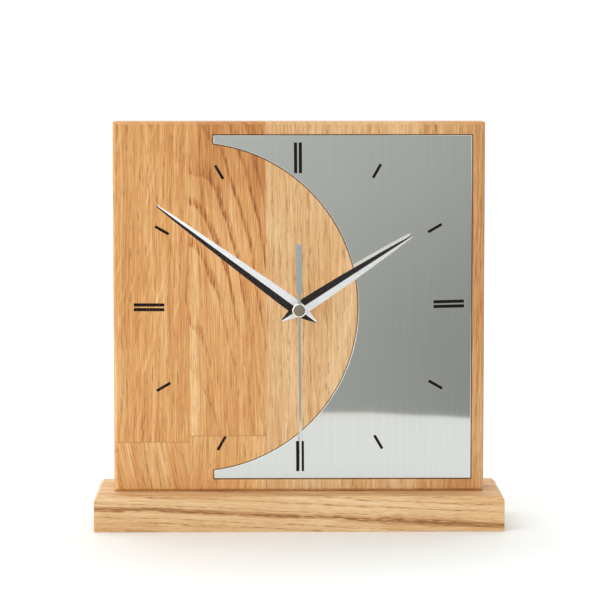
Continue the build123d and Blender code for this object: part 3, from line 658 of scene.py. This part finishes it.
# Painted highlight: from its bead outward the boss is coloured near white for the light its rim catches.
ring_highlight = spread(tree, from_middle, 3.05 * mm, 3.15 * mm)
tree.links.new(over(tree, ring_highlight, turned, (0.93, 0.93, 0.92)), shader.inputs["Base Color"])
shader.inputs["Metallic"].default_value = 1.0
shader.inputs["Roughness"].default_value = 0.24
work = bmesh.new()
plan = [
    (-0.50, 90.0), (0.50, 90.0), (0.78, 0.0), (0.78, -8.1), (1.675, -10.3), (1.675, -35.3),
    (-1.675, -35.3), (-1.675, -10.3), (-0.78, -8.1), (-0.78, 0.0),
]
flat = work.faces.new([work.verts.new((px * mm, needle_back * mm, pz * mm)) for px, pz in plan])
raised = bmesh.ops.extrude_face_region(work, geom=[flat])
fronts = [item for item in raised["geom"] if isinstance(item, bmesh.types.BMVert)]
bmesh.ops.translate(work, verts=fronts, vec=(0, -needle_thick * mm, 0))
bmesh.ops.recalc_face_normals(work, faces=work.faces)
arris = [edge for edge in work.edges if all(v.co.y < -28.3 * mm for v in edge.verts)]
bmesh.ops.bevel(work, geom=arris, offset=0.08 * mm, segments=2, profile=0.5, affect="EDGES")
shell = bmesh.new()
turned_part(shell, [(radius * mm, y * mm) for radius, y in (
    (0.02, -29.0), (2.92, -28.98), (3.00, -28.94), (3.07, -28.80), (3.14, -28.92), (3.22, -28.98),
    (3.45, -28.93), (3.70, -28.72), (3.8, -28.45), (3.8, -28.1), (3.6, -28.0),
    (1.3, -28.0), (1.3, -25.9), (1.2, -25.8), (0.56, -25.8), (0.56, -28.2), (0.02, -28.2),
)], 1, 64)
bmesh.ops.recalc_face_normals(shell, faces=shell.faces)
rest = bpy.data.meshes.new("boss")
shell.to_mesh(rest)
shell.free()
work.from_mesh(rest)
needle_mesh = bpy.data.meshes.new("second_needle")
work.to_mesh(needle_mesh)
work.free()
needle_turn = Matrix.Rotation(math.radians(needle_angle), 4, "Y")
needle_mesh.transform(Matrix.Translation(dial_centre) @ needle_turn)
even_shading(needle_mesh)
needle = bpy.data.objects.new("second_needle", needle_mesh)
bpy.context.scene.collection.objects.link(needle)
finish_with(needle, needle_grey, cap_metal)
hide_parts("second_hand")
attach(needle, "second_hand_body")

# Hub fixing: the movement's brass bushing comes through the board, its thread cut by a die, and a
# six-sided brass nut pulls the board against the rubber gasket behind it.
def matter(name, colour, metallic=0.0, roughness=0.5, scale=800.0, change=0.12, bump=0.0, specular=0.5):
    """Plain material with a fine uneven tone and an optional grained surface."""
    material, tree, shader = new_material(name)
    place = node(tree, "ShaderNodeTexCoord").outputs["Object"]
    fine = node(tree, "ShaderNodeTexNoise", {"Vector": place, "Scale": scale, "Detail": 4.0}).outputs[0]
    low = tuple(part * (1.0 - change) for part in colour)
    high = tuple(min(part * (1.0 + change), 1.0) for part in colour)
    tree.links.new(tint(tree, fine, ((0.3, low), (0.7, high))), shader.inputs["Base Color"])
    tree.links.new(spread(tree, fine, 0.3, 0.7, roughness * 0.85, roughness * 1.15),
                   shader.inputs["Roughness"])
    shader.inputs["Metallic"].default_value = metallic
    shader.inputs["Specular IOR Level"].default_value = specular
    if bump:
        grain = node(tree, "ShaderNodeBump", {"Strength": bump, "Distance": 0.00005, "Height": fine})
        tree.links.new(grain.outputs[0], shader.inputs["Normal"])
    return material


def turned_piece(name, profile, material, turn=Matrix(), count=64):
    """Object turned round an axis from (radius, y) points in mm, then moved by turn."""
    shell = bmesh.new()
    turned_part(shell, [(radius * mm, y * mm) for radius, y in profile], 0, count)
    bmesh.ops.recalc_face_normals(shell, faces=shell.faces)
    mesh = bpy.data.meshes.new(name)
    shell.to_mesh(mesh)
    shell.free()
    mesh.transform(turn)
    mesh.shade_smooth()
    mesh.set_sharp_from_angle(angle=math.radians(35))
    made = bpy.data.objects.new(name, mesh)
    bpy.context.scene.collection.objects.link(made)
    finish_with(made, material)
    return made


brass = matter("turned_brass", (0.70, 0.53, 0.27), metallic=1.0, roughness=0.27)
nut = softened("fixing_nut", "hex_nut", 0.2 * mm)
finish_with(nut, brass)
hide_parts("fixing_nut")
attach(nut, "clock_body")
thread_crest, thread_root, thread_pitch, thread_turns = 4.0, 3.62, 0.75, 15
profile = [(2.65, -19.0), (3.5, -19.0)]
for ridge in range(thread_turns):
    front = -18.75 + ridge * thread_pitch
    profile += [(thread_crest, front), (thread_crest, front + 0.12), (thread_root, front + 0.42),
                (thread_root, front + 0.54)]
profile += [(4.0, -7.2), (4.0, -7.0), (4.8, -7.0), (4.8, -6.0), (2.65, -6.0)]
bushing = turned_piece("threaded_tube", profile, brass, Matrix.Translation(dial_centre), 48)
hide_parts("threaded_bushing")
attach(bushing, "clock_body")

# Movement: two moulded black shells clipped together. The cover has a raised arrow round the
# setting knob, three moulded rings, and raised plus and minus signs beside the battery bay.
black_plastic = matter("moulded_black", (0.030, 0.030, 0.031), roughness=0.46, scale=3800.0, bump=0.45)
shell_piece = softened("movement_case", "case_shell", 0.18 * mm)
finish_with(shell_piece, black_plastic)
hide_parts("movement_case")
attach(shell_piece, "clock_body")
lid = softened("case_cover", "case_lid", 0.18 * mm)
finish_with(lid, black_plastic)
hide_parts("case_cover")
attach(lid, "clock_body")
knob_middle = [(low + high) / 2 for low, high in zip(*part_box("setting_knob"))]
lid_back, sign_back, ring_back = 9.1, 9.4, 9.35
raised_signs = []


def slab(outline, low_y, high_y):
    """Closed mesh of a flat outline in (x, z), mm, between two depths."""
    work = bmesh.new()
    flat = work.faces.new([work.verts.new((px * mm, low_y * mm, pz * mm)) for px, pz in outline])
    raised = bmesh.ops.extrude_face_region(work, geom=[flat])
    moved = [item for item in raised["geom"] if isinstance(item, bmesh.types.BMVert)]
    bmesh.ops.translate(work, verts=moved, vec=(0, (high_y - low_y) * mm, 0))
    bmesh.ops.recalc_face_normals(work, faces=work.faces)
    mesh = bpy.data.meshes.new("slab")
    work.to_mesh(mesh)
    work.free()
    return mesh


knob_x, knob_z = knob_middle[0] / mm, knob_middle[2] / mm
arrow_start, arrow_sweep = 35.0, 100.0
band_out, band_in, barb_out, barb_in, barb_tip = 6.9, 6.3, 7.7, 5.5, 6.6
sweep = [math.radians(arrow_start + arrow_sweep * step / 24) for step in range(25)]
outer = [(knob_x + band_out * math.cos(turn), knob_z + band_out * math.sin(turn)) for turn in sweep]
inner = [(knob_x + band_in * math.cos(turn), knob_z + band_in * math.sin(turn)) for turn in sweep]
head, tip = sweep[-1], sweep[-1] + 0.30
arrow = [(knob_x + barb_out * math.cos(head), knob_z + barb_out * math.sin(head)),
         (knob_x + barb_tip * math.cos(tip), knob_z + barb_tip * math.sin(tip)),
         (knob_x + barb_in * math.cos(head), knob_z + barb_in * math.sin(head))]
raised_signs.append(slab(outer + arrow + inner[::-1], lid_back, sign_back))
for ring_x, ring_z, out in ((-14.0, 134.0, 5.0), (14.0, 137.0, 3.2), (-18.0, 118.0, 3.2)):
    into = out - 0.25
    turns = [2 * math.pi * step / 40 for step in range(40)]
    for a, b in zip(turns, turns[1:] + turns[:1]):
        raised_signs.append(slab([
            (ring_x + into * math.cos(a), ring_z + into * math.sin(a)),
            (ring_x + out * math.cos(a), ring_z + out * math.sin(a)),
            (ring_x + out * math.cos(b), ring_z + out * math.sin(b)),
            (ring_x + into * math.cos(b), ring_z + into * math.sin(b))], lid_back, ring_back))
for bar_x, bar_z, half_x, half_z in (
    (-22.0, 110.6, 1.6, 0.3), (22.0, 110.6, 1.6, 0.3), (22.0, 110.6, 0.3, 1.6),
):
    raised_signs.append(slab([
        (bar_x - half_x, bar_z - half_z), (bar_x + half_x, bar_z - half_z),
        (bar_x + half_x, bar_z + half_z), (bar_x - half_x, bar_z + half_z)], lid_back, sign_back))
signs = joined("raised_signs", raised_signs, black_plastic)
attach(signs, "clock_body")
knob = softened("setting_knob", "fluted_knob", 0.15 * mm)
finish_with(knob, matter("moulded_knob", (0.055, 0.055, 0.057), roughness=0.42, scale=3000.0, bump=0.3))
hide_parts("setting_knob")
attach(knob, "setting_body")

# Battery: a steel can with a printed shrink sleeve rolled over its ends, a bright cap and nub at
# the positive end and a bright disc at the negative one.
sleeve, tree, shader = new_material("battery_sleeve")
place = node(tree, "ShaderNodeTexCoord").outputs["Object"]
span = lengths_of(tree, place)[0]
fine = node(tree, "ShaderNodeTexNoise", {"Vector": place, "Scale": 700.0, "Detail": 3.0}).outputs[0]
band = sums(tree, "MULTIPLY", spread(tree, span, 12.4, 12.6), spread(tree, span, 14.4, 14.6, 1.0, 0.0))
body = over(tree, spread(tree, span, 13.4, 13.6), (0.030, 0.075, 0.115), (0.42, 0.44, 0.46))
tree.links.new(over(tree, band, body, (0.75, 0.76, 0.76)), shader.inputs["Base Color"])
tree.links.new(spread(tree, fine, 0.3, 0.7, 0.22, 0.32), shader.inputs["Roughness"])
shader.inputs["Metallic"].default_value = 0.35
nickel = matter("nickel_plate", (0.66, 0.65, 0.62), metallic=1.0, roughness=0.24, scale=1500.0)
low, high = [[value / mm for value in corner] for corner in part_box("battery_cell")]
end, flat_end, nub_end = low[0], high[0] - 1.3, high[0]
radius = (high[2] - low[2]) / 2
middle = Vector((0.0, (low[1] + high[1]) / 2 * mm, (low[2] + high[2]) / 2 * mm))
metal_radius = 6.05
cell = turned_piece("battery_can", (
    (0.01, end + 0.25), (4.6, end + 0.25), (4.8, end), (5.9, end), (6.2, end + 0.2),
    (radius - 0.5, end + 0.2), (radius - 0.1, end + 0.35), (radius, end + 0.8),
    (radius, flat_end - 0.8), (radius - 0.1, flat_end - 0.3), (radius - 0.6, flat_end - 0.05),
    (5.4, flat_end - 0.05), (5.2, flat_end - 0.4), (3.2, flat_end - 0.3),
    (2.8, flat_end), (2.75, nub_end - 0.2), (2.5, nub_end), (0.01, nub_end),
), sleeve, Matrix.Translation(middle) @ Matrix.Rotation(-math.pi / 2, 4, "Z"))
cell.data.materials.append(nickel)
for face in cell.data.polygons:
    off_axis = face.center - middle
    if math.hypot(off_axis.y, off_axis.z) < metal_radius * mm:
        face.material_index = 1
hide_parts("battery_cell")
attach(cell, "battery_body")

# Plinth screws: zinc-plated countersunk wood screws from underneath, with a cross recess.
zinc = matter("zinc_plate", (0.60, 0.61, 0.60), metallic=1.0, roughness=0.32, scale=1200.0)
screws = softened("base_screws", "cross_screws", 0.1 * mm)
finish_with(screws, zinc)
cross_half_long, cross_half_wide, cross_height, cross_middle = 2.6, 0.5, 3.0, 0.6
for centre_x in (-75.0, 75.0):
    for half_x, half_y in (
        (cross_half_long, cross_half_wide), (cross_half_wide, cross_half_long),
    ):
        work = bmesh.new()
        bmesh.ops.create_cube(work, size=1.0, matrix=(
            Matrix.Translation((centre_x * mm, 0.0, cross_middle * mm))
            @ Matrix.Diagonal((2 * half_x * mm, 2 * half_y * mm, cross_height * mm, 1.0))))
        blade_mesh = bpy.data.meshes.new("driver")
        work.to_mesh(blade_mesh)
        work.free()
        driver = bpy.data.objects.new("driver", blade_mesh)
        bpy.context.scene.collection.objects.link(driver)
        cut = screws.modifiers.new("recess", "BOOLEAN")
        cut.operation = "DIFFERENCE"
        cut.solver = "EXACT"
        cut.object = driver
        seen = screws.evaluated_get(bpy.context.evaluated_depsgraph_get())
        cut_mesh = bpy.data.meshes.new_from_object(seen)
        screws.modifiers.remove(cut)
        screws.data = cut_mesh
        bpy.data.objects.remove(driver)
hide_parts("base_screws")
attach(screws, "clock_body")

# Works inside the closed case: plated steel, brass, ferrite, enamelled wire and moulded plastics.
ivory = matter("acetal", (0.74, 0.72, 0.64), roughness=0.38)
steel_spring = matter("nickel_spring", (0.64, 0.63, 0.58), metallic=1.0, roughness=0.28, scale=1500.0)
inner_looks = {
    ("fifth_wheel", "third_wheel", "minute_work_wheel", "hour_wheel", "setting_arbor"): ivory,
    ("second_wheel",): matter("steel_arbor", (0.62, 0.62, 0.60), metallic=1.0, roughness=0.25),
    ("centre_wheel", "cannon_pinion"): brass,
    ("clutch_spring", "positive_contact", "negative_contact"): steel_spring,
    ("coil_screws",): zinc,
    ("rotor",): matter("ferrite", (0.045, 0.043, 0.042), roughness=0.55),
    ("stator", "coil_core"): matter("soft_iron_sheet", (0.50, 0.50, 0.49), metallic=1.0, roughness=0.4),
    ("train_plate", "train_bridge"): matter("grey_moulding", (0.30, 0.30, 0.29), roughness=0.5, bump=0.2),
    ("coil_bobbin",): matter("cream_moulding", (0.66, 0.60, 0.46), roughness=0.45),
    ("coil_winding",): matter(
        "enamelled_copper", (0.62, 0.24, 0.09), metallic=0.9, roughness=0.3, scale=4000.0),
    ("circuit_board",): matter("green_laminate", (0.035, 0.16, 0.07), roughness=0.4),
    ("controller_chip",): matter("chip_resin_black", (0.02, 0.02, 0.021), roughness=0.4),
    ("quartz_crystal",): nickel,
    ("rubber_gasket",): matter("black_rubber", (0.028, 0.028, 0.028), roughness=0.75, bump=0.4),
}
for names, look in inner_looks.items():
    for name in names:
        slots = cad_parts[name].material_slots
        for place in slots:
            place.material = look

# Stage: a white table whose front edge bends back on the right, a pale surround with two window
# bands for the polished metal to mirror, and three large soft lamps.
front_edge = ((-3.0, -0.48), (0.0, -0.450), (0.042, -0.438), (0.113, -0.408), (0.3, -0.38), (3.0, -0.38))
back_edge = ((3.0, 3.0), (-3.0, 3.0))
table_mesh = bpy.data.meshes.new("table_top")
table_mesh.from_pydata([(px, py, 0) for px, py in front_edge + back_edge], [], [range(8)])
table = bpy.data.objects.new("table_top", table_mesh)
bpy.context.scene.collection.objects.link(table)
paint, tree, shader = new_material("white_table")
shader.inputs["Base Color"].default_value = (0.885, 0.895, 0.895, 1.0)
shader.inputs["Roughness"].default_value = 0.5
shader.inputs["Specular IOR Level"].default_value = 0.2
place = node(tree, "ShaderNodeTexCoord").outputs["Object"]
away = node(tree, "ShaderNodeVectorMath", {0: place}, operation="LENGTH").outputs["Value"]
far = node(tree, "ShaderNodeSeparateXYZ", {0: place}).outputs[1]
edging = tint(tree, spread(tree, far, -0.45, -0.39), ((0.0, (1.0, 0.965, 0.89)), (1.0, (1.0, 1.0, 1.0))))
glow = node(tree, "ShaderNodeEmission", {"Color": edging, "Strength": 1.12})
lit = node(tree, "ShaderNodeMixShader", {
    0: spread(tree, away, 0.125, 0.24), 1: shader.outputs[0], 2: glow.outputs[0]})
tree.links.new(lit.outputs[0], tree.nodes["Material Output"].inputs[0])
finish_with(table, paint)

world = bpy.data.worlds.new("studio")
bpy.context.scene.world = world
world.use_nodes = True
tree = world.node_tree
tree.nodes.clear()
seen = node(tree, "ShaderNodeBackground", {"Color": (1.0, 1.0, 1.0, 1.0), "Strength": 1.05})
direction = node(tree, "ShaderNodeTexCoord").outputs["Generated"]
towards = node(tree, "ShaderNodeSeparateXYZ", {0: direction}).outputs
aside, upward = towards[0], towards[2]
table_and_wall = spread(tree, upward, -0.125, -0.02, 0.47, 0.62)
sideways_fall = sums(tree, "ADD", spread(tree, aside, -0.06, 0.18, 0.12, -0.17),
                     spread(tree, aside, 0.22, 0.50, 0.0, 0.17))
left_window = spread(tree, aside, -0.75, -0.40, 1.1, 0.0)
low_window = sums(tree, "MULTIPLY", spread(tree, upward, 0.0, 0.08, 0.0, 0.95),
                  spread(tree, upward, 0.13, 0.20, 1.0, 0.0))
shade = sums(tree, "ADD", sums(tree, "ADD", table_and_wall, sideways_fall),
             sums(tree, "ADD", left_window, low_window))
cast = node(tree, "ShaderNodeBackground", {"Color": (0.985, 1.0, 0.975, 1.0), "Strength": shade})
mixed = node(tree, "ShaderNodeMixShader", {
    0: node(tree, "ShaderNodeLightPath").outputs["Is Camera Ray"], 1: cast.outputs[0], 2: seen.outputs[0]})
tree.links.new(mixed.outputs[0], tree.nodes.new("ShaderNodeOutputWorld").inputs[0])


def soft_lamp(name, place, aim, width, height, power):
    data = bpy.data.lights.new(name, "AREA")
    data.shape = "RECTANGLE"
    data.size = width
    data.size_y = height
    data.energy = power
    lamp = bpy.data.objects.new(name, data)
    lamp.location = place
    lamp.rotation_euler = (Vector(aim) - Vector(place)).to_track_quat("-Z", "Y").to_euler()
    bpy.context.scene.collection.objects.link(lamp)


soft_lamp("key_lamp", (-0.9, -1.3, 1.5), (0.0, 0.0, 0.12), 1.3, 1.3, 7.5)
soft_lamp("fill_lamp", (1.2, -1.0, 1.2), (0.0, 0.0, 0.12), 1.2, 1.2, 5.0)
soft_lamp("top_lamp", (0.0, 0.8, 1.6), (0.0, 0.0, 0.0), 1.6, 1.0, 12.0)

camera_data = bpy.data.cameras.new("camera")
camera_data.lens = 153.15
camera_data.sensor_width = 36.0
camera_data.shift_y = -0.10
camera_data.clip_start = 0.05
camera = bpy.data.objects.new("camera", camera_data)
camera.location = (-0.0167, -1.3817, 0.2597)
camera.rotation_euler = (math.radians(90.0 - 4.351), 0.0, math.radians(-0.721))
bpy.context.scene.collection.objects.link(camera)
bpy.context.scene.camera = camera
bpy.context.scene.view_settings.view_transform = "Standard"
